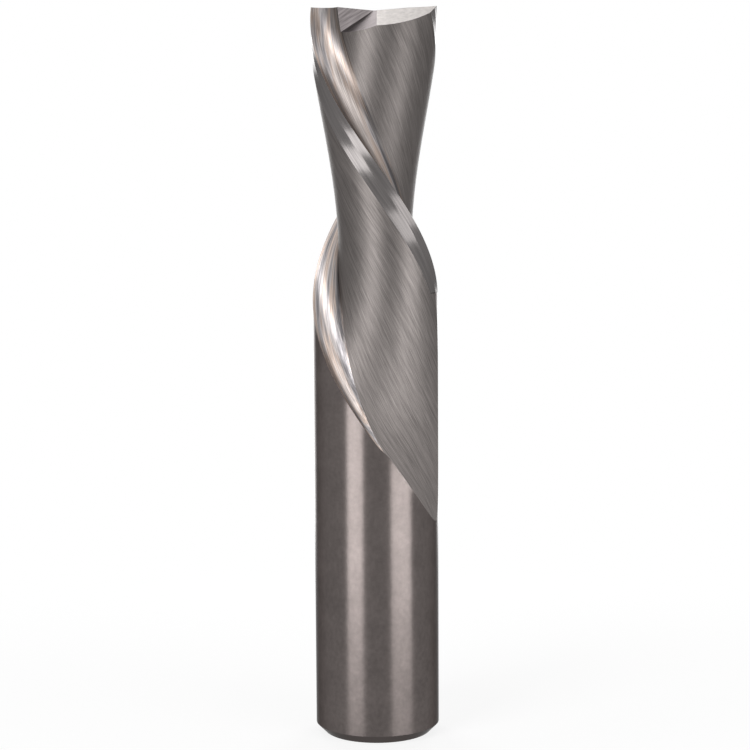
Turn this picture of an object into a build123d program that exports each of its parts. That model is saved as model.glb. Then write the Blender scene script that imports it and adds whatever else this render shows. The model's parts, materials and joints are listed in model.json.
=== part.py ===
from build123d import *
from math import atan2, ceil, cos, degrees, pi, radians, sin, sqrt, tan
import os

os.makedirs("parts", exist_ok=True)

# A two-flute spiral router bit, ground from one rod of solid carbide. It stands
# on the flat end of its shank, tip up, with its axis on Z. The flutes wind left
# handed, and the bit cuts turning counter-clockwise as seen from above the tip.

# Rod, in millimetres
shank_diameter = 12.0
overall_length = 70.0
shank_chamfer = 0.85
seam_bearing = 28.0  # the line where the rod's wall closes, clear of the runouts

# Cutting head, with lengths measured down from the tip
cutting_diameter = 12.0
cutting_length = 27.0
flute_length = 50.0
helix_angle = 35.3
tip_bearing = 173.0  # direction of the first cutting corner, seen from above

# Flute section: shares of the cutting radius, and degrees from the cutting edge
rake_angle = 12.0
back_radius_share = 0.836
back_offset_share = 0.254
back_offset_bearing = 209.0
flute_span = 165.0
lip_turn = 22.0  # how far the hook's arc runs on outside the rod
heel_run = 0.35  # how far the back's arc runs on there, in cutting radii

# Runout, where the flutes rise out of the rod
runout_ease = 1.3
hook_fade_share = 0.66  # share of the runout over which the hook dies away
hook_remnant = 0.12  # size of the hook that leaves the rod there
hook_lift_share = 0.075  # how far it has risen by then
hook_lift_start = 0.7  # share of that stretch at which it starts to rise
closing_span = 19.0
closing_flatness = 0.25
closing_rise = 0.012
closing_rise_start = 0.8  # share of the runout at which the section starts to grow

# Lands behind the cutting edges
edge_allowance = 0.01
primary_land = 0.92
primary_relief = 9.0
secondary_relief = 19.0
land_lead = 0.4  # where the first flat's cut starts ahead of the edge, in cutting radii
land_run = 0.8  # how far the second flat's cut runs, in cutting radii

# End teeth
dish_angle = 3.5
end_primary_relief = 5.0
end_primary_width = 0.3
end_secondary_relief = 23.0
gash_lead = 36.0
gash_slope = 30.0
gash_wall_lean = 25.0
gash_floor_lean = 97.4

shank_radius = shank_diameter / 2
cutting_radius = cutting_diameter / 2
helix_lead = pi * cutting_diameter / tan(radians(helix_angle))
land_end = overall_length - cutting_length
flute_end = overall_length - flute_length
beyond = 1.0  # how far the cutters reach past the tip
outside = 1.5  # how far the cutters reach past the rod, as a multiple of its size
reach = outside * max(cutting_diameter, shank_diameter)
outer_radius = outside * max(cutting_radius, shank_radius)
section_step = 3.6


def polar(radius, bearing):
    return Vector(radius * cos(radians(bearing)), radius * sin(radians(bearing)))


def turned_plane(height):
    """Plane at a height, with X through the first cutting edge there."""
    bearing = tip_bearing + 360 * (overall_length - height) / helix_lead
    return Plane(origin=(0, 0, height), x_dir=polar(1, bearing), z_dir=(0, 0, 1))


def heights(bottom):
    """Section heights from above the tip down to the bottom, closely spaced."""
    top = overall_length + beyond
    count = ceil((top - bottom) / section_step)
    return [top + (bottom - top) * i / count for i in range(count + 1)]


# The whole flute: a hook arc that leaves the edge at the rake angle and meets
# the broad arc of the back face at the hook's foot
edge_point = Vector(cutting_radius, 0)
back_radius = back_radius_share * cutting_radius
back_centre = polar(back_offset_share * cutting_radius, back_offset_bearing)
rake_normal = polar(1, rake_angle + 90)
from_back = edge_point - back_centre
hook_radius = (from_back.length**2 - back_radius**2) / (
    2 * (back_radius - from_back.dot(rake_normal))
)
hook_centre = edge_point + rake_normal * hook_radius
hook_foot = back_centre + (hook_centre - back_centre).normalized() * back_radius


def eased(share, start):
    """0 up to the start, then a smooth rise to 1."""
    value = min(max((share - start) / (1 - start), 0.0), 1.0)
    return value * value * (3 - 2 * value)


def flute_section(height):
    """Section of one flute's space, from its edge out past the rod."""
    share = max((land_end - height) / (land_end - flute_end), 0.0)
    fade = min(share / hook_fade_share, 1.0) ** runout_ease
    size = 1 - (1 - hook_remnant) * fade
    span = flute_span - (flute_span - closing_span) * share**runout_ease
    curvature = (1 - fade) / back_radius + fade * closing_flatness / cutting_radius
    lift = hook_lift_share * cutting_radius * eased(share / hook_fade_share, hook_lift_start)
    scale = 1 + closing_rise * eased(share, closing_rise_start)

    start = (edge_point + Vector(lift, 0)) * scale
    foot = start + (hook_foot - edge_point) * size * scale
    centre = start + rake_normal * hook_radius * size * scale
    lip = centre + (start - centre).rotate(Axis.Z, lip_turn)
    hook_middle = centre + ((start + foot) * 0.5 - centre).normalized() * hook_radius * size * scale
    heel = polar(cutting_radius * scale, span)
    chord = heel - foot
    inward = Vector(-chord.Y, chord.X).normalized()
    radius = 1 / curvature
    pivot = (foot + heel) * 0.5 + inward * sqrt(radius**2 - (chord.length / 2) ** 2)
    past = pivot + (heel - pivot).rotate(Axis.Z, degrees(heel_run * cutting_radius * curvature))
    back_middle = pivot - inward * radius
    outer_lip = lip.normalized() * outer_radius
    outer_past = past.normalized() * outer_radius
    past_bearing = degrees(atan2(past.Y, past.X)) % 360
    outer_middle = polar(outer_radius, past_bearing / 2)

    with BuildSketch(turned_plane(height)) as section:
        with BuildLine():
            ThreePointArc(lip, hook_middle, foot)
            ThreePointArc(foot, back_middle, past)
            Line(past, outer_past)
            ThreePointArc(outer_past, outer_middle, outer_lip)
            Line(outer_lip, lip)
        make_face()
    return section.sketch


def land_section(height):
    """Section of what is ground off behind a cutting edge, in two flats."""
    corner = Vector(cutting_radius - edge_allowance, 0)
    primary = polar(1, -90 - primary_relief)
    secondary = polar(1, -90 - secondary_relief)
    ahead = corner - primary * land_lead * cutting_radius
    ridge = corner + primary * primary_land
    behind = ridge + secondary * land_run * cutting_radius
    with BuildSketch(turned_plane(height)) as section:
        with BuildLine():
            Polyline(ahead, ridge, behind, behind * outside, ahead * outside, ahead)
        make_face()
    return section.sketch


with BuildPart() as flute_space:
    loft(sections=[flute_section(height) for height in heights(flute_end)])

with BuildPart() as land_space:
    loft(sections=[land_section(height) for height in heights(land_end)])

# End of one tooth: two flats that fall away behind the end cutting edge, with
# the corner highest, over the half of the end that trails the gash
end_edge = polar(1, tip_bearing)
end_ahead = polar(1, tip_bearing + 90)
tip_centre = Vector(0, 0, overall_length - cutting_radius * tan(radians(dish_angle)))
gash_bearing = tip_bearing + gash_lead


def end_flat(relief, behind):
    """Plane of an end flat whose ridge runs a distance behind the end edge."""
    normal = Vector(0, 0, 1) - end_edge * tan(radians(dish_angle)) - end_ahead * tan(radians(relief))
    fall = Vector(0, 0, behind * tan(radians(end_primary_relief)))
    return Plane(origin=tip_centre - end_ahead * behind - fall, z_dir=normal)


def end_space(relief, behind):
    half = Plane(
        origin=(0, 0, overall_length - reach),
        x_dir=polar(1, gash_bearing - 90),
        z_dir=(0, 0, 1),
    )
    with BuildPart() as space:
        with BuildSketch(half):
            Rectangle(reach, 2 * reach, align=(Align.MIN, Align.CENTER))
        extrude(amount=2 * reach)
        split(bisect_by=end_flat(relief, behind), keep=Keep.TOP)
    return space.part


# Gash: a vee whose bottom runs from the centre of the tip down to the hook
gash_run = polar(cos(radians(gash_slope)), gash_bearing) - Vector(0, 0, sin(radians(gash_slope)))
gash_plane = Plane(origin=tip_centre, x_dir=polar(1, gash_bearing + 90), z_dir=gash_run)

with BuildPart() as gash_space:
    with BuildSketch(gash_plane):
        with BuildLine():
            wall_top = polar(reach, 90 + gash_wall_lean)
            floor_top = polar(reach, 90 - gash_floor_lean)
            Polyline((0, 0), floor_top, wall_top, (0, 0))
        make_face()
    extrude(amount=reach, both=True)

cutters = [
    flute_space.part,
    land_space.part,
    end_space(end_primary_relief, 0),
    end_space(end_secondary_relief, end_primary_width),
    gash_space.part,
]

with BuildPart() as router_bit:
    standing = (Align.CENTER, Align.CENTER, Align.MIN)
    with Locations(Rotation(0, 0, seam_bearing)):
        Cylinder(shank_radius, land_end, align=standing)
        with Locations((0, 0, land_end)):
            Cylinder(cutting_radius, cutting_length, align=standing)
    chamfer(router_bit.edges().filter_by(GeomType.CIRCLE).group_by(Axis.Z)[0], shank_chamfer)
    for cutter in cutters:
        for tooth in PolarLocations(0, 2):
            add(tooth * cutter, mode=Mode.SUBTRACT)

router_bit.part.label = "router_bit"
export_step(router_bit.part, "parts/router_bit.step")
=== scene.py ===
import json
from math import atan2, ceil, cos, pi, radians, sin, sqrt, tan

import bmesh
import bpy
from bpy.props import FloatProperty, FloatVectorProperty, IntProperty, PointerProperty
from mathutils import Matrix, Vector

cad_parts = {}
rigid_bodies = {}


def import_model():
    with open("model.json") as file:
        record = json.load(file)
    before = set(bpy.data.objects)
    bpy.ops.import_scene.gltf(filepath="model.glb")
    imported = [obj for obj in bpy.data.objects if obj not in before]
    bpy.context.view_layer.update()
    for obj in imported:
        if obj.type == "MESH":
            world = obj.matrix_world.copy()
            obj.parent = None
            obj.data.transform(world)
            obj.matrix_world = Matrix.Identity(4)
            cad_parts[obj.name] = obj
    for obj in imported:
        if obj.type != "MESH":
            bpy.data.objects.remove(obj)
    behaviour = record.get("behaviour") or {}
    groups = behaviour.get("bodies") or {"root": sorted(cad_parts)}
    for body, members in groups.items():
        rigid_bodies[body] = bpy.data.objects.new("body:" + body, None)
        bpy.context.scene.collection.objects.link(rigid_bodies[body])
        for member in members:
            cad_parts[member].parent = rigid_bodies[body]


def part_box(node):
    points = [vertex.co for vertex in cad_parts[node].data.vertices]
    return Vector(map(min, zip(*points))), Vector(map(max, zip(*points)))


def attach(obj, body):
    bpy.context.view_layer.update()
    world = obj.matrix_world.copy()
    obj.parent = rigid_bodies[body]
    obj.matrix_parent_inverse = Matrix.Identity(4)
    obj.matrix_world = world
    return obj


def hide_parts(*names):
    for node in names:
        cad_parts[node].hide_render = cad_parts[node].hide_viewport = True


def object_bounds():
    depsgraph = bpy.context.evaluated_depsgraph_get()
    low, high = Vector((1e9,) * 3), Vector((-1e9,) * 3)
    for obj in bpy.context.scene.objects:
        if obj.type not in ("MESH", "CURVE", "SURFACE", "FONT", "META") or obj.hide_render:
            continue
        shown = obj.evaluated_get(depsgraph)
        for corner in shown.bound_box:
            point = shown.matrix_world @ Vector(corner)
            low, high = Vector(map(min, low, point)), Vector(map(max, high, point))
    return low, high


bl_info = {
    "name": "Spiral router bit",
    "version": (1, 0, 0),
    "blender": (4, 5, 0),
    "location": "View3D > Sidebar > Router Bit",
    "description": "Grinds and finishes a two-flute carbide router bit on its packed frame",
    "category": "Add Mesh",
}

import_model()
cad_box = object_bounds()
rod_low, rod_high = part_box("router_bit")

MM = 0.001
ROD_RADIUS = (rod_high.x - rod_low.x) / 2
LENGTH = round(rod_high.z / MM, 2) * MM  # the ground corners end a thousandth of a millimetre lower
ABOVE_TIP = 0.3 * MM  # how far the rod runs on before its ends are cut
WELD = 0.0002 * MM  # points closer than this become one
TOUCH = 0.000001 * MM  # an arc that ends this close to the rod's wall ends on it
SHARP = radians(12)  # faces that meet at more than this keep a crisp edge
HALVINGS = 40  # of a stretch in which a crossing is looked for
ARC_STEPS = 32  # at which the deepest point of a back face is looked for
SECOND_FLAT_END = (0.3, 1.0)  # shares of the back face between which it meets the second flat

# The faces of the bit, in the order of its material slots
FACES = ("shank", "back", "hook", "land", "end", "gash", "bevel")
SHANK, BACK, HOOK, LAND, END, GASH, BEVEL = range(len(FACES))

# Tones of the hook: painted shade in its foot by the back face and a painted highlight towards the
# cutting edge, by share of the rod's radius from the axis; the greys, the tan and the near white in bands
# along it, partly painted reflection; and its darkest marks
HOOK_PAINTED_SHADE_AND_HIGHLIGHT = ((0.585, 0.35), (0.605, 0.85), (0.66, 1.1), (0.80, 1.6))
# Bands along the hook, partly painted reflection of the studio in its polish
HOOK_TINTS_AND_REFLECTIONS = (
    (0.38, (0.50, 0.51, 0.54)),
    (0.46, (0.84, 0.83, 0.84)),
    (0.52, (0.92, 0.80, 0.72)),
    (0.60, (1.0, 0.96, 0.94)),
)
HOOK_LINES = (0.46, 0.455, 0.46)

# Soft boxes round the bit: direction in degrees from the camera's side, distance, width,
# lowest and highest point in millimetres, and radiance
SOFT_BOXES = {
    "left_foot": (-39, 83, 44, 0, 8, 16.0),
    "left_strip": (-39, 85, 44, 8, 200, 4.1),
    "right_foot": (45, 83, 58, 0, 8, 16.0),
    "right_strip": (45, 85, 58, 8, 48, 2.9),
    "right_glow": (45, 85, 58, 48, 200, 0.8),
    "back_left_strip": (-160, 100, 45, 0, 200, 3.5),
    "back_right_strip": (160, 100, 45, 0, 200, 3.5),
}
PLAIN_LIGHT = 0.15  # strength of the world's light on the bit
WHITE = (1, 1, 1, 1)
FLOOR_REACH = 30.0  # metres from the bit to the floor's edges

# Inputs and output of a Mix node for colours
MIX_FACTOR, MIX_FIRST, MIX_SECOND, MIX_RESULT = 0, 6, 7, 2


def length(name, description, default):
    return FloatProperty(name=name, description=description, default=default * MM, unit="LENGTH")


def angle(name, description, default):
    return FloatProperty(name=name, description=description, default=radians(default), subtype="ANGLE")


def share(name, description, default):
    return FloatProperty(name=name, description=description, default=default, subtype="FACTOR")


def colour(name, description, default):
    return FloatVectorProperty(name=name, description=description, default=default, subtype="COLOR", size=3)


def number(name, description, default):
    return FloatProperty(name=name, description=description, default=default)


def count(name, description, default):
    return IntProperty(name=name, description=description, default=default, min=1)


class BitShape(bpy.types.PropertyGroup):
    """Sizes of the ground rod, the same as the solid's."""

    shank_chamfer: length("Shank chamfer", "Bevel round the shank's end", 0.85)
    cutting_length: length("Cutting length", "Relieved edges, down from the tip", 27.0)
    flute_length: length("Flute length", "Flutes with their runout, down from the tip", 50.0)
    helix_angle: angle("Helix angle", "Lean of the cutting edges from the axis", 35.3)
    tip_bearing: angle("Tip bearing", "Direction of the first corner, seen from above", 173.0)
    rake_angle: angle("Rake angle", "Lean of the hook's start behind the radius", 12.0)
    back_radius: share("Back radius", "Radius of the back face, as a share of the rod's", 0.836)
    back_offset: share("Back offset", "Distance of its centre from the axis, likewise", 0.254)
    back_bearing: angle("Back bearing", "Direction of its centre from the cutting edge", 209.0)
    flute_span: angle("Flute span", "Width of a whole flute, from its edge to its heel", 165.0)
    closing_span: angle("Closing span", "Width of a flute where it ends", 19.0)
    closing_flatness: share("Closing flatness", "Curvature of the back face there", 0.25)
    closing_rise: share("Closing rise", "How far the section has grown out of the rod there", 0.012)
    closing_rise_start: share("Rise start", "Share of the runout where the growth starts", 0.8)
    runout_ease: number("Runout ease", "How late the runout sets in", 1.3)
    hook_fade: share("Hook fade", "Share of the runout over which the hook dies away", 0.66)
    hook_remnant: share("Hook remnant", "Size of the hook that leaves the rod there", 0.12)
    hook_lift: share("Hook lift", "How far it has risen by then", 0.075)
    hook_lift_start: share("Lift start", "Share of that stretch where the rise starts", 0.7)
    edge_allowance: length("Edge allowance", "What the relief takes off the edge", 0.01)
    primary_land: length("Primary land", "Width of the first flat behind an edge", 0.92)
    primary_relief: angle("Primary relief", "Fall of the first flat", 9.0)
    secondary_relief: angle("Secondary relief", "Fall of the second flat", 19.0)
    dish_angle: angle("Dish angle", "Fall of the end edges towards the axis", 3.5)
    end_primary_relief: angle("End relief", "Fall of the end's first flat", 5.0)
    end_primary_width: length("End land", "Width of the end's first flat", 0.3)
    end_secondary_relief: angle("End clearance", "Fall of the end's second flat", 23.0)
    gash_lead: angle("Gash lead", "Bearing of the gash ahead of the corner", 36.0)
    gash_slope: angle("Gash slope", "Fall of the gash's bottom", 30.0)
    gash_wall_lean: angle("Gash wall", "Lean of the gash's wall", 25.0)
    gash_floor_lean: angle("Gash floor", "Lean of the gash's floor", 97.4)


class BitMesh(bpy.types.PropertyGroup):
    """How finely the bit's faces are divided."""

    row_height: length("Row height", "Height of the rows of faces", 0.2)
    hook_columns: count("Hook columns", "Faces across a hook", 28)
    back_columns: count("Back columns", "Faces across a back face", 52)
    clearance_columns: count("Clearance columns", "Faces across a second flat", 10)
    wall_columns: count("Wall columns", "Faces across a first flat or the rod's wall", 32)


class BitFinish(bpy.types.PropertyGroup):
    """Colours of the ground carbide."""

    shank: colour("Shank", "Fine ground rod", (0.11, 0.095, 0.091))
    back: colour("Back faces", "Brushed back of the flutes", (0.14, 0.127, 0.122))
    hook: colour("Hooks", "Polished hook of the flutes", (0.45, 0.42, 0.405))
    land: colour("Lands", "Relieved lands behind the edges", (0.132, 0.123, 0.121))
    # The end teeth's pale colour is partly painted light on the end facets, which face up
    end: colour("End teeth", "Fresh ground end of the teeth", (0.71, 0.675, 0.655))
    gash: colour("Gash", "Coarsely ground gash", (0.18, 0.162, 0.163))


class BitStage(bpy.types.PropertyGroup):
    """Camera and floor."""

    floor_colour: colour("Floor", "Pale floor", (0.9, 0.9, 0.9))
    camera_distance: length("Camera distance", "From the bit's axis", 206.5)
    camera_height: length("Camera height", "Above the floor", 60.2)
    camera_side: length("Camera side", "To the right of the axis", -0.07)
    camera_pitch: angle("Camera pitch", "Down from level", 6.97)
    camera_roll: angle("Camera roll", "Clockwise", 0.342)
    lens: number("Lens", "Focal length on a 36 mm sensor, in millimetres", 103.6)


def polar(radius, bearing):
    return Vector((radius * cos(bearing), radius * sin(bearing)))


def bearing_of(point):
    return atan2(point.y, point.x)


def spaced(start, end, steps):
    """Evenly spaced values from the start to the end, both of them included."""
    return [start + (end - start) * i / steps for i in range(steps + 1)]


def eased(value, start):
    """0 up to the start, then a smooth rise to 1."""
    value = min(max((value - start) / (1 - start), 0.0), 1.0)
    return value * value * (3 - 2 * value)


def halved(inside, outside, is_inside):
    """Value between the two at which the test stops holding."""
    for _ in range(HALVINGS):
        middle = (inside + outside) / 2
        if is_inside(middle):
            inside = middle
        else:
            outside = middle
    return inside


def within_rod(point):
    return point * min(1, ROD_RADIUS / point.length)


class Arc:
    """Part of a circle, run from one point round its centre to another."""

    def __init__(self, centre, start, end, turn):
        self.centre = centre
        self.radius = (start - centre).length
        self.first = bearing_of(start - centre)
        sweep = (bearing_of(end - centre) - self.first) % (2 * pi)
        self.sweep = sweep if turn > 0 else sweep - 2 * pi

    def at(self, position):
        return self.centre + polar(self.radius, self.first + self.sweep * position)

    def crossing(self, inside, outside):
        """Position between the two where the arc leaves the rod."""
        return halved(inside, outside, lambda position: self.at(position).length < ROD_RADIUS)


class Grind:
    """Outline of the bit at any height, seen with the first edge along X."""

    def __init__(self, shape, mesh):
        self.shape = shape
        self.mesh = mesh
        self.land_end = LENGTH - shape.cutting_length
        self.flute_end = LENGTH - shape.flute_length
        self.lead = 2 * pi * ROD_RADIUS / tan(shape.helix_angle)
        self.edge = Vector((ROD_RADIUS, 0))
        self.back_radius = shape.back_radius * ROD_RADIUS
        back_centre = polar(shape.back_offset * ROD_RADIUS, shape.back_bearing)
        self.rake = polar(1, shape.rake_angle + pi / 2)
        gap = self.edge - back_centre
        self.hook_radius = (gap.length_squared - self.back_radius**2) / (
            2 * (self.back_radius - gap.dot(self.rake))
        )
        hook_centre = self.edge + self.rake * self.hook_radius
        self.foot = back_centre + (hook_centre - back_centre).normalized() * self.back_radius
        # Share of the back face that the last relieved row left, kept by the rows below it
        self.heel_share = 1.0

    def bearing(self, height):
        """Direction of the first edge. Below the flutes the columns run straight down."""
        fall = LENGTH - max(height, self.flute_end)
        return self.shape.tip_bearing + 2 * pi * fall / self.lead

    def arcs(self, height):
        """The hook and the back face at a height, as they would run on past the rod."""
        shape = self.shape
        run = min(max((self.land_end - height) / (self.land_end - self.flute_end), 0.0), 1.0)
        fade = min(run / shape.hook_fade, 1.0) ** shape.runout_ease
        scale = 1 + shape.closing_rise * eased(run, shape.closing_rise_start)
        size = (1 - (1 - shape.hook_remnant) * fade) * scale
        span = shape.flute_span - (shape.flute_span - shape.closing_span) * run**shape.runout_ease
        curvature = (1 - fade) / self.back_radius + fade * shape.closing_flatness / ROD_RADIUS
        lift = shape.hook_lift * ROD_RADIUS * eased(run / shape.hook_fade, shape.hook_lift_start)
        start = (self.edge + Vector((lift, 0))) * scale
        foot = start + (self.foot - self.edge) * size
        hook = Arc(start + self.rake * self.hook_radius * size, start, foot, turn=-1)
        heel = polar(ROD_RADIUS * scale, span)
        chord = heel - foot
        inward = Vector((-chord.y, chord.x)).normalized()
        rise = sqrt(1 / curvature**2 - (chord.length / 2) ** 2)
        back = Arc((foot + heel) / 2 + inward * rise, foot, heel, turn=1)
        return hook, back

    def outline(self, height, relieved):
        """Points of one tooth's flute and land, with the face that follows each."""
        mesh = self.mesh
        hook, back = self.arcs(height)
        hook_start, back_start, back_end = self.limits(hook, back)
        if hook_start < 1:
            across = spaced(hook_start, 1, mesh.hook_columns)[:-1]
            points = [(hook.at(position), HOOK) for position in across]
        else:
            points = [(back.at(back_start), HOOK)] * mesh.hook_columns
        if relieved:
            edge = -hook.at(hook_start + self.shape.edge_allowance / abs(hook.radius * hook.sweep))
            points[0] = (-edge, HOOK)
            ridge, heel_position = self.relief(edge, back)
            self.heel_share = (heel_position - back_start) / (back_end - back_start)
        else:
            heel_position = back_start + (back_end - back_start) * self.heel_share
        across = spaced(back_start, heel_position, mesh.back_columns)[:-1]
        points += [(back.at(position), BACK) for position in across]
        clearance = spaced(0, 1, mesh.clearance_columns)[:-1]
        wall = spaced(0, 1, mesh.wall_columns)[:-1]
        if relieved:
            heel = back.at(heel_position)
            points += [(heel.lerp(ridge, i), LAND) for i in clearance]
            points += [(ridge.lerp(edge, i), LAND) for i in wall]
        else:
            points += [(back.at(heel_position + (back_end - heel_position) * i), BACK) for i in clearance]
            first = bearing_of(back.at(back_end)) % (2 * pi)
            last = pi + bearing_of(points[0][0])
            points += [(polar(ROD_RADIUS, first + (last - first) * i), SHANK) for i in wall]
        return [(within_rod(point), face) for point, face in points]

    def limits(self, hook, back):
        """Where the hook enters the rod, and where the back face enters and leaves it."""
        deepest = min(spaced(0, 1, ARC_STEPS), key=lambda position: back.at(position).length)
        if back.at(deepest).length >= ROD_RADIUS:
            return 1, deepest, deepest
        back_end = back.crossing(deepest, 1) if back.at(1).length > ROD_RADIUS else 1
        if back.at(0).length >= ROD_RADIUS:
            return 1, back.crossing(deepest, 0), back_end
        hook_start = hook.crossing(1, 0) if hook.at(0).length > ROD_RADIUS + TOUCH else 0
        return hook_start, 0, back_end

    def relief(self, edge, back):
        """Ridge between the two flats behind an edge, and where the second meets the back face."""
        shape = self.shape
        ridge = edge + polar(shape.primary_land, pi / 2 - shape.primary_relief)
        flat = polar(1, pi / 2 - shape.secondary_relief)
        across = Vector((-flat.y, flat.x))
        return ridge, halved(*SECOND_FLAT_END, lambda position: (back.at(position) - ridge).dot(across) < 0)


def solid_from(name, rows, caps):
    """A mesh of rows of points, with a cap on the first row and one on the last.

    A point comes with the face below it, and a cap with the way round it runs and its face.
    """
    build = bmesh.new()
    rings = [[(build.verts.new(point), face) for point, face in row] for row in rows]
    around = len(rings[0])
    for upper, lower in zip(rings, rings[1:]):
        for i in range(around):
            j = (i + 1) % around
            corners = (upper[i][0], upper[j][0], lower[j][0], lower[i][0])
            build.faces.new(corners).material_index = lower[i][1]
    for ring, (way, face) in zip((rings[0], rings[-1]), caps):
        build.faces.new([vert for vert, _ in ring][::way]).material_index = face
    bmesh.ops.remove_doubles(build, verts=build.verts, dist=WELD)
    bmesh.ops.recalc_face_normals(build, faces=build.faces)
    mesh = bpy.data.meshes.new(name)
    build.to_mesh(mesh)
    build.free()
    return mesh


def ground_rod(shape, mesh):
    """The fluted and relieved rod, up to a little above its tip."""
    grind = Grind(shape, mesh)

    def row(height, relieved, scale=1.0):
        turned = Matrix.Rotation(grind.bearing(height), 2)
        tooth = grind.outline(height, relieved)
        ring = []
        for side in (1, -1):
            for point, face in tooth:
                spot = turned @ (point * side * scale)
                ring.append((Vector((spot.x, spot.y, height)), face))
        return ring

    def down(top, bottom):
        return spaced(top, bottom, ceil((top - bottom) / mesh.row_height))

    rows = [row(height, relieved=True) for height in down(LENGTH + ABOVE_TIP, grind.land_end)]
    rows += [row(height, relieved=False) for height in down(grind.land_end, grind.flute_end)]
    rows.append(row(shape.shank_chamfer, relieved=False))
    bevel = row(0, relieved=False, scale=(ROD_RADIUS - shape.shank_chamfer) / ROD_RADIUS)
    rows.append([(point, BEVEL) for point, _ in bevel])
    return solid_from("router_bit_ground", rows, ((1, END), (-1, BEVEL)))


def end_wheels(shape):
    """Rows of the solids that cut the end of one tooth, each with the face it leaves."""
    reach = 3 * ROD_RADIUS
    centre = Vector((0, 0, LENGTH - ROD_RADIUS * tan(shape.dish_angle)))
    edge = polar(1, shape.tip_bearing)
    ahead = polar(1, shape.tip_bearing + pi / 2)
    gash = shape.tip_bearing + shape.gash_lead
    across = polar(reach, gash)
    over = polar(reach, gash - pi / 2)
    base = [-across, across, across + over, over - across]
    flats = (
        (shape.end_primary_relief, 0),
        (shape.end_secondary_relief, shape.end_primary_width),
    )
    wheels = []
    for relief, behind in flats:
        drop = centre.z - behind * tan(shape.end_primary_relief)
        slope = edge * tan(shape.dish_angle) + ahead * tan(relief)
        origin = -ahead * behind
        low = [Vector((p.x, p.y, drop + slope.dot(p - origin))) for p in base]
        high = [Vector((p.x, p.y, LENGTH + reach)) for p in base]
        wheels.append(([low, high], END))
    run = Vector((*polar(cos(shape.gash_slope), gash), -sin(shape.gash_slope)))
    side = Vector((*polar(1, gash + pi / 2), 0))
    up = run.cross(side)
    floor = polar(reach, pi / 2 - shape.gash_floor_lean)
    wall = polar(reach, pi / 2 + shape.gash_wall_lean)
    vee = [centre] + [centre + side * p.x + up * p.y for p in (floor, wall)]
    wheels.append(([[p - run * reach for p in vee], [p + run * reach for p in vee]], GASH))
    return wheels


def cut_ends(context, bit, materials):
    """Cut the end flats and the gash of both teeth, each in its own finish."""
    wheels = bpy.data.collections.new("end_wheels")
    for turn in (0, pi):
        for sides, face in end_wheels(context.scene.bit_shape):
            rows = [[(Matrix.Rotation(turn, 3, "Z") @ p, 0) for p in side] for side in sides]
            wheel = bpy.data.objects.new("end_wheel", solid_from("end_wheel", rows, ((1, 0), (-1, 0))))
            wheel.data.materials.append(materials[face])
            wheels.objects.link(wheel)
    cut = bit.modifiers.new("end_teeth", "BOOLEAN")
    cut.operation = "DIFFERENCE"
    cut.operand_type = "COLLECTION"
    cut.collection = wheels
    cut.solver = "EXACT"
    cut.material_mode = "TRANSFER"
    context.view_layer.update()
    evaluated = bit.evaluated_get(context.evaluated_depsgraph_get())
    ground = bpy.data.meshes.new_from_object(evaluated)
    if not ground.polygons:
        raise RuntimeError("the end wheels left nothing of the rod")
    bit.modifiers.clear()
    bit.data = ground
    for wheel in list(wheels.objects):
        bpy.data.objects.remove(wheel)
    bpy.data.collections.remove(wheels)


def sharpen(mesh):
    """Smooth shading, broken along the edges between one ground face and the next."""
    build = bmesh.new()
    build.from_mesh(mesh)
    for face in build.faces:
        face.smooth = True
    for edge in build.edges:
        if len(edge.link_faces) == 2:
            first, second = edge.link_faces
            rounded = {first.material_index, second.material_index} == {BACK, HOOK}
            differ = first.material_index != second.material_index and not rounded
            edge.smooth = not (differ or edge.calc_face_angle() > SHARP)
    build.to_mesh(mesh)
    build.free()


class SHAPING_OT_router_bit(bpy.types.Operator):
    """Grind the whole bit from its rod and cut the ends of its teeth"""

    bl_idname = "router_bit.grind"
    bl_label = "Router bit"

    def execute(self, context):
        scene = context.scene
        materials = [MATERIALS[face](scene.bit_finish) for face in FACES]
        bit = bpy.data.objects.new("router_bit_ground", ground_rod(scene.bit_shape, scene.bit_mesh))
        scene.collection.objects.link(bit)
        for material in materials:
            bit.data.materials.append(material)
        cut_ends(context, bit, materials)
        sharpen(bit.data)
        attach(bit, "root")
        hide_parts("router_bit")
        return {"FINISHED"}


class Value:
    """A shader socket that reads as a number in Python sums."""

    def __init__(self, nodes, socket):
        self.nodes = nodes
        self.socket = socket

    def math(self, operation, first, second):
        return self.nodes.add("ShaderNodeMath", {"operation": operation}, [first, second])

    def __add__(self, other):
        return self.math("ADD", self, other)

    def __sub__(self, other):
        return self.math("SUBTRACT", self, other)

    def __rsub__(self, other):
        return self.math("SUBTRACT", other, self)

    def __mul__(self, other):
        return self.math("MULTIPLY", self, other)

    __radd__ = __add__
    __rmul__ = __mul__


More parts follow.
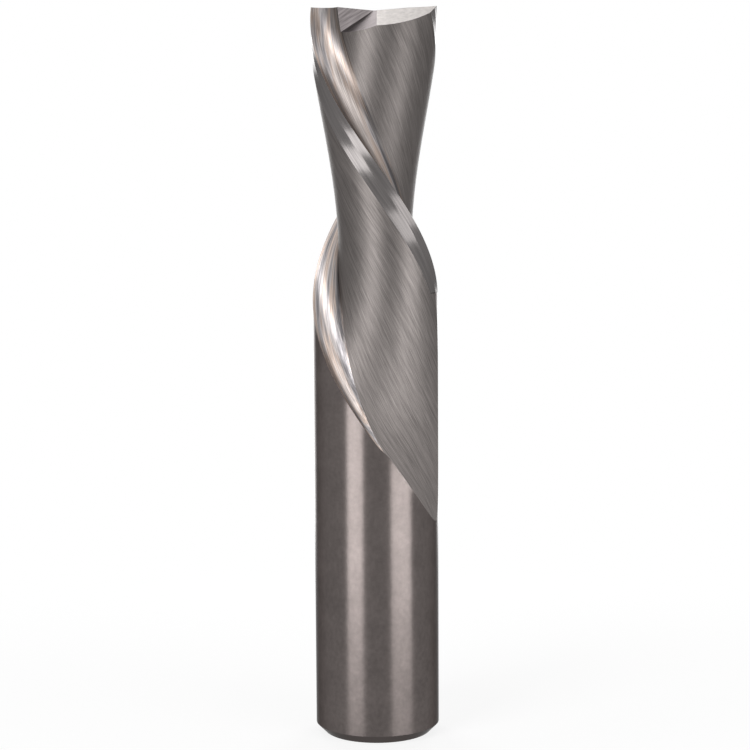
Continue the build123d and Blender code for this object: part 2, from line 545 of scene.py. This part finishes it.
class Nodes:
    """The node tree of one material or world."""

    def __init__(self, tree):
        self.tree = tree
        tree.nodes.clear()

    def add(self, kind, settings=None, inputs=(), output=0):
        """A node with its settings and then its inputs, by place or by name."""
        node = self.tree.nodes.new(kind)
        for name, value in (settings or {}).items():
            if name == "stops":
                self.set_stops(node.color_ramp, value)
            else:
                setattr(node, name, value)
        pairs = inputs.items() if isinstance(inputs, dict) else enumerate(inputs)
        for key, value in pairs:
            if isinstance(value, Value):
                self.tree.links.new(value.socket, node.inputs[key])
            else:
                node.inputs[key].default_value = value
        return Value(self, node.outputs[output])

    def set_stops(self, ramp, stops):
        while len(ramp.elements) < len(stops):
            ramp.elements.new(1)
        for element, (position, tone) in zip(ramp.elements, stops):
            element.position = position
            element.color = (*tone, 1) if isinstance(tone, tuple) else (tone, tone, tone, 1)

    def vector(self, operation, *inputs, output="Vector"):
        return self.add("ShaderNodeVectorMath", {"operation": operation}, inputs, output)

    def ranged(self, value, low, high, first=0.0, last=1.0):
        """The value moved from one range to another, and held at its ends."""
        return self.add("ShaderNodeMapRange", None, [value, low, high, first, last])

    def ramp(self, value, stops):
        return self.add("ShaderNodeValToRGB", {"stops": stops}, [value])

    def mix(self, factor, first, second, blend="MIX"):
        settings = {"data_type": "RGBA", "blend_type": blend}
        inputs = {MIX_FACTOR: factor, MIX_FIRST: opaque(first), MIX_SECOND: opaque(second)}
        return self.add("ShaderNodeMix", settings, inputs, MIX_RESULT)

    def times(self, first, second):
        """Two colours multiplied."""
        return self.mix(1.0, first, second, blend="MULTIPLY")

    def finish(self, shader, kind="ShaderNodeOutputMaterial"):
        """The tree's output, with the shader on its surface."""
        node = self.tree.nodes.new(kind)
        self.tree.links.new(shader.socket, node.inputs["Surface"])


def opaque(tone):
    return tone if isinstance(tone, Value) else (*tone, 1)


def shaded(tone, factor):
    return tuple(c * factor for c in tone)


def new_material(name):
    material = bpy.data.materials.new(name)
    material.use_nodes = True
    return material, Nodes(material.node_tree)


def place(nodes):
    return nodes.add("ShaderNodeTexCoord", output="Object")


def height_of(nodes, spot):
    return nodes.add("ShaderNodeSeparateXYZ", None, [spot], output="Z")


def turned_by(nodes, spot, angle):
    settings = {"rotation_type": "Z_AXIS"}
    return nodes.add("ShaderNodeVectorRotate", settings, {"Vector": spot, "Angle": angle})


def along_helix(nodes, stretch):
    """Coordinates in millimetres, turned back along the helix and pressed together along the axis."""
    spot = place(nodes)
    lead = 2 * pi * ROD_RADIUS / tan(bpy.context.scene.bit_shape.helix_angle)
    turned = turned_by(nodes, spot, height_of(nodes, spot) * (2 * pi / lead))
    return nodes.vector("MULTIPLY", turned, (1 / MM, 1 / MM, 1 / MM / stretch))


def round_helix(nodes, stretch):
    """The same without the distance from the axis, for marks that follow a face as it rises."""
    turned = along_helix(nodes, stretch)
    facing = nodes.vector("NORMALIZE", nodes.vector("MULTIPLY", turned, (1, 1, 0)))
    onto_rod = nodes.vector("MULTIPLY", facing, (ROD_RADIUS / MM, ROD_RADIUS / MM, 0))
    upright = nodes.vector("MULTIPLY", turned, (0, 0, 1))
    return nodes.vector("ADD", onto_rod, upright)


def noise(nodes, spot, fineness, detail, roughness=0.5):
    inputs = {"Vector": spot, "Scale": fineness, "Detail": detail, "Roughness": roughness}
    return nodes.add("ShaderNodeTexNoise", None, inputs)


def streaks(nodes, spot, fineness):
    """Grinding marks, which run the way the coordinates are pressed together."""
    return noise(nodes, spot, fineness, detail=3.0, roughness=0.55)


def metal(nodes, tone, roughness, rim=0.5, anisotropic=0.0, rotation=0.0, bump=None):
    """Carbide, with rim for its brightness seen from the side, and the bump's marks, strength and depth."""
    inputs = {
        "Base Color": opaque(tone),
        "Metallic": 1.0,
        "Specular Tint": (rim, rim, rim, 1),
        "Roughness": roughness,
        "Anisotropic": anisotropic,
        "Anisotropic Rotation": rotation,
    }
    if bump:
        marks, strength, depth = bump
        bumps = {"Height": marks, "Strength": strength, "Distance": depth * MM}
        inputs["Normal"] = nodes.add("ShaderNodeBump", None, bumps)
    return nodes.add("ShaderNodeBsdfPrincipled", None, inputs)


def shank_material(finish):
    """Fine ground wall, mottled, with its highlights drawn out along the axis."""
    material, nodes = new_material("ground_shank")
    spot = place(nodes)
    blotch = noise(nodes, spot, fineness=330.0, detail=6.0, roughness=0.7)
    speck = noise(nodes, spot, fineness=2600.0, detail=2.0)
    mottle = nodes.ranged(blotch * 0.65 + speck * 0.35, low=0.36, high=0.64)
    tone = nodes.mix(mottle, shaded(finish.shank, 0.86), shaded(finish.shank, 1.12))
    nodes.finish(metal(nodes, tone, roughness=0.3, rim=0.4, anisotropic=0.8, rotation=0.25))
    return material


def back_material(finish):
    """Brushed along the helix and duller down the runout, with painted shade above the runout and painted
    light down it.
    """
    material, nodes = new_material("brushed_back")
    fine = streaks(nodes, round_helix(nodes, stretch=40), fineness=20.0)
    broad = streaks(nodes, round_helix(nodes, stretch=18), fineness=2.0)
    marks = nodes.ranged(fine * 0.75 + broad * 0.25, low=0.37, high=0.63)
    tone = nodes.mix(marks, shaded(finish.back, 0.66), shaded(finish.back, 1.36))
    height = height_of(nodes, place(nodes))
    land_end = LENGTH - bpy.context.scene.bit_shape.cutting_length
    fade_start = land_end + 4 * MM
    roughness = nodes.ranged(height, fade_start, land_end - 8 * MM, first=0.42, last=0.56)
    # Painted shade darkens the back above the runout and painted light makes it paler down the runout
    painted_shade_and_light_by_height = nodes.ranged(height, fade_start, land_end - 16 * MM, first=0.78, last=1.3)
    nodes.finish(metal(nodes, nodes.times(tone, painted_shade_and_light_by_height), roughness, bump=(fine, 0.5, 0.012)))
    return material


def hook_material(finish):
    """Painted highlight next to the cutting edge and painted shade in the foot, darker over the last of it
    at the tip.
    """
    material, nodes = new_material("polished_hook")
    fine = streaks(nodes, along_helix(nodes, stretch=45), fineness=13.0)
    broad = streaks(nodes, along_helix(nodes, stretch=12), fineness=1.1)
    spot = place(nodes)
    flat = nodes.vector("MULTIPLY", spot, (1 / ROD_RADIUS, 1 / ROD_RADIUS, 0))
    out = nodes.vector("LENGTH", flat, output="Value")
    # Painted shade in the foot by the back face and a painted highlight towards the cutting edge
    depth = nodes.ramp(out + (broad - 0.5) * 0.05, HOOK_PAINTED_SHADE_AND_HIGHLIGHT)
    lines = nodes.mix(nodes.ranged(fine, low=0.36, high=0.64), HOOK_LINES, (1, 1, 1))
    tip = nodes.ranged(height_of(nodes, spot), LENGTH - 4.5 * MM, LENGTH - 2 * MM, first=1.0, last=0.5)
    # Bands along the hook that are partly painted reflection
    tone = nodes.times(nodes.times(nodes.ramp(broad, HOOK_TINTS_AND_REFLECTIONS), lines), finish.hook)
    tone = nodes.times(nodes.times(tone, depth), tip)
    nodes.finish(metal(nodes, tone, 0.26 + broad * 0.14, bump=(fine, 0.6, 0.016)))
    return material


def land_material(finish):
    """Smooth flats with faint marks along the edge."""
    material, nodes = new_material("relieved_land")
    fine = streaks(nodes, along_helix(nodes, stretch=40), fineness=9.0)
    lines = nodes.ranged(fine, low=0.32, high=0.68)
    tone = nodes.mix(lines, shaded(finish.land, 0.8), shaded(finish.land, 1.15))
    nodes.finish(metal(nodes, tone, roughness=0.23, bump=(fine, 0.2, 0.008)))
    return material


def end_material(finish):
    """Pale, partly from painted light on the end facets, which face up, and finely grained."""
    material, nodes = new_material("ground_end")
    grain = noise(nodes, place(nodes), fineness=2500.0, detail=3.0)
    tone = nodes.mix(nodes.ranged(grain, low=0.3, high=0.7), shaded(finish.end, 0.78), finish.end)
    nodes.finish(metal(nodes, tone, roughness=0.34, rim=0.3))
    return material


def gash_material(finish):
    """Coarse marks that run down the gash, the same way on both teeth."""
    material, nodes = new_material("coarse_gash")
    shape = bpy.context.scene.bit_shape
    turned = turned_by(nodes, place(nodes), -shape.tip_bearing - shape.gash_lead)
    pressed = nodes.vector("MULTIPLY", turned, (40.0, 1 / MM, 0.0))
    marks = streaks(nodes, pressed, fineness=13.0)
    lines = nodes.ranged(marks, low=0.36, high=0.64)
    tone = nodes.mix(lines, shaded(finish.gash, 0.7), shaded(finish.gash, 1.3))
    nodes.finish(metal(nodes, tone, roughness=0.34, bump=(marks, 0.35, 0.01)))
    return material


def bevel_material(finish):
    """The shank's end and its bevel, a little darker than its wall."""
    material, nodes = new_material("turned_bevel")
    nodes.finish(metal(nodes, shaded(finish.shank, 0.8), roughness=0.3))
    return material


MATERIALS = {
    "shank": shank_material,
    "back": back_material,
    "hook": hook_material,
    "land": land_material,
    "end": end_material,
    "gash": gash_material,
    "bevel": bevel_material,
}


def seen_directly(nodes):
    """1 for the rays that show the background: the camera's, and those off metal or through glass."""
    rays = ("Is Camera Ray", "Is Glossy Ray", "Is Transmission Ray")
    camera, glossy, through = (nodes.add("ShaderNodeLightPath", output=ray) for ray in rays)
    return camera + glossy + through


def add_camera(scene):
    stage = scene.bit_stage
    data = bpy.data.cameras.new("camera")
    data.lens = stage.lens
    data.clip_start = 0.01
    camera = bpy.data.objects.new("camera", data)
    camera.location = (stage.camera_side, -stage.camera_distance, stage.camera_height)
    tilt = Matrix.Rotation(pi / 2 - stage.camera_pitch, 4, "X")
    roll = Matrix.Rotation(-stage.camera_roll, 4, "Z")
    camera.rotation_euler = (tilt @ roll).to_euler()
    scene.collection.objects.link(camera)
    scene.camera = camera


def add_floor(scene):
    """A matt floor that shows as white away from the bit, and keeps the bit's shadow near it."""
    mesh = bpy.data.meshes.new("floor")
    corners = [(x * FLOOR_REACH, y * FLOOR_REACH, 0) for x, y in ((-1, -1), (1, -1), (1, 1), (-1, 1))]
    mesh.from_pydata(corners, [], [(0, 1, 2, 3)])
    floor = bpy.data.objects.new("floor", mesh)
    floor.location.z = cad_box[0][2]
    scene.collection.objects.link(floor)
    material, nodes = new_material("pale_floor")
    away = nodes.vector("LENGTH", place(nodes), output="Value")
    glowing = nodes.ranged(away, 15 * MM, 75 * MM, first=0.84, last=1.0)
    matt = nodes.add("ShaderNodeBsdfDiffuse", None, {"Color": (*scene.bit_stage.floor_colour, 1)})
    glow = nodes.add("ShaderNodeEmission", None, {"Color": WHITE, "Strength": 1.0})
    shown = seen_directly(nodes) * glowing
    nodes.finish(nodes.add("ShaderNodeMixShader", None, [shown, matt, glow]))
    mesh.materials.append(material)


def add_soft_box(scene, name, direction, distance, width, low, high, radiance):
    """A tall soft box between two heights, turned to the bit, with its sizes in metres."""
    height = high - low
    data = bpy.data.lights.new(name, "AREA")
    data.shape = "RECTANGLE"
    data.size = width
    data.size_y = height
    data.energy = radiance * pi * width * height
    lamp = bpy.data.objects.new(name, data)
    outward = Vector((sin(direction), -cos(direction), 0))
    lamp.location = outward * distance + Vector((0, 0, (low + high) / 2))
    lamp.rotation_euler = (-outward).to_track_quat("-Z", "Y").to_euler()
    scene.collection.objects.link(lamp)


def add_world(scene):
    """Plain light on the bit, and a white background."""
    world = bpy.data.worlds.new("studio")
    world.use_nodes = True
    nodes = Nodes(world.node_tree)
    seen = seen_directly(nodes)
    plain = nodes.add("ShaderNodeBackground", None, {"Color": WHITE, "Strength": PLAIN_LIGHT})
    white = nodes.add("ShaderNodeBackground", None, {"Color": WHITE, "Strength": 1.0})
    mixed = nodes.add("ShaderNodeMixShader", None, [seen, plain, white])
    nodes.finish(mixed, "ShaderNodeOutputWorld")
    scene.world = world


class SHAPING_OT_stage(bpy.types.Operator):
    """Set up the camera, the floor, the lamps and the world"""

    bl_idname = "router_bit.stage"
    bl_label = "Stage"

    def execute(self, context):
        scene = context.scene
        scene.view_settings.view_transform = "Standard"
        add_camera(scene)
        add_floor(scene)
        for name, (direction, *sizes, radiance) in SOFT_BOXES.items():
            add_soft_box(scene, name, radians(direction), *(size * MM for size in sizes), radiance)
        add_world(scene)
        return {"FINISHED"}


class SHAPING_PT_router_bit(bpy.types.Panel):
    """The two steps, with every size and colour that they use"""

    bl_idname = "SHAPING_PT_router_bit"
    bl_label = "Router bit"
    bl_space_type = "VIEW_3D"
    bl_region_type = "UI"
    bl_category = "Router Bit"

    def draw(self, context):
        for operator in (SHAPING_OT_router_bit, SHAPING_OT_stage):
            self.layout.operator(operator.bl_idname)
        for name in SETTINGS:
            group = getattr(context.scene, name)
            for setting in group.__annotations__:
                self.layout.prop(group, setting)


SETTINGS = {
    "bit_shape": BitShape,
    "bit_mesh": BitMesh,
    "bit_finish": BitFinish,
    "bit_stage": BitStage,
}
CLASSES = (*SETTINGS.values(), SHAPING_OT_router_bit, SHAPING_OT_stage, SHAPING_PT_router_bit)


def register():
    for cls in CLASSES:
        bpy.utils.register_class(cls)
    for name, group in SETTINGS.items():
        setattr(bpy.types.Scene, name, PointerProperty(type=group))


def unregister():
    for name in SETTINGS:
        delattr(bpy.types.Scene, name)
    for cls in reversed(CLASSES):
        bpy.utils.unregister_class(cls)


def main():
    register()
    bpy.ops.router_bit.stage()
    bpy.ops.router_bit.grind()


if __name__ == "__main__":
    main()
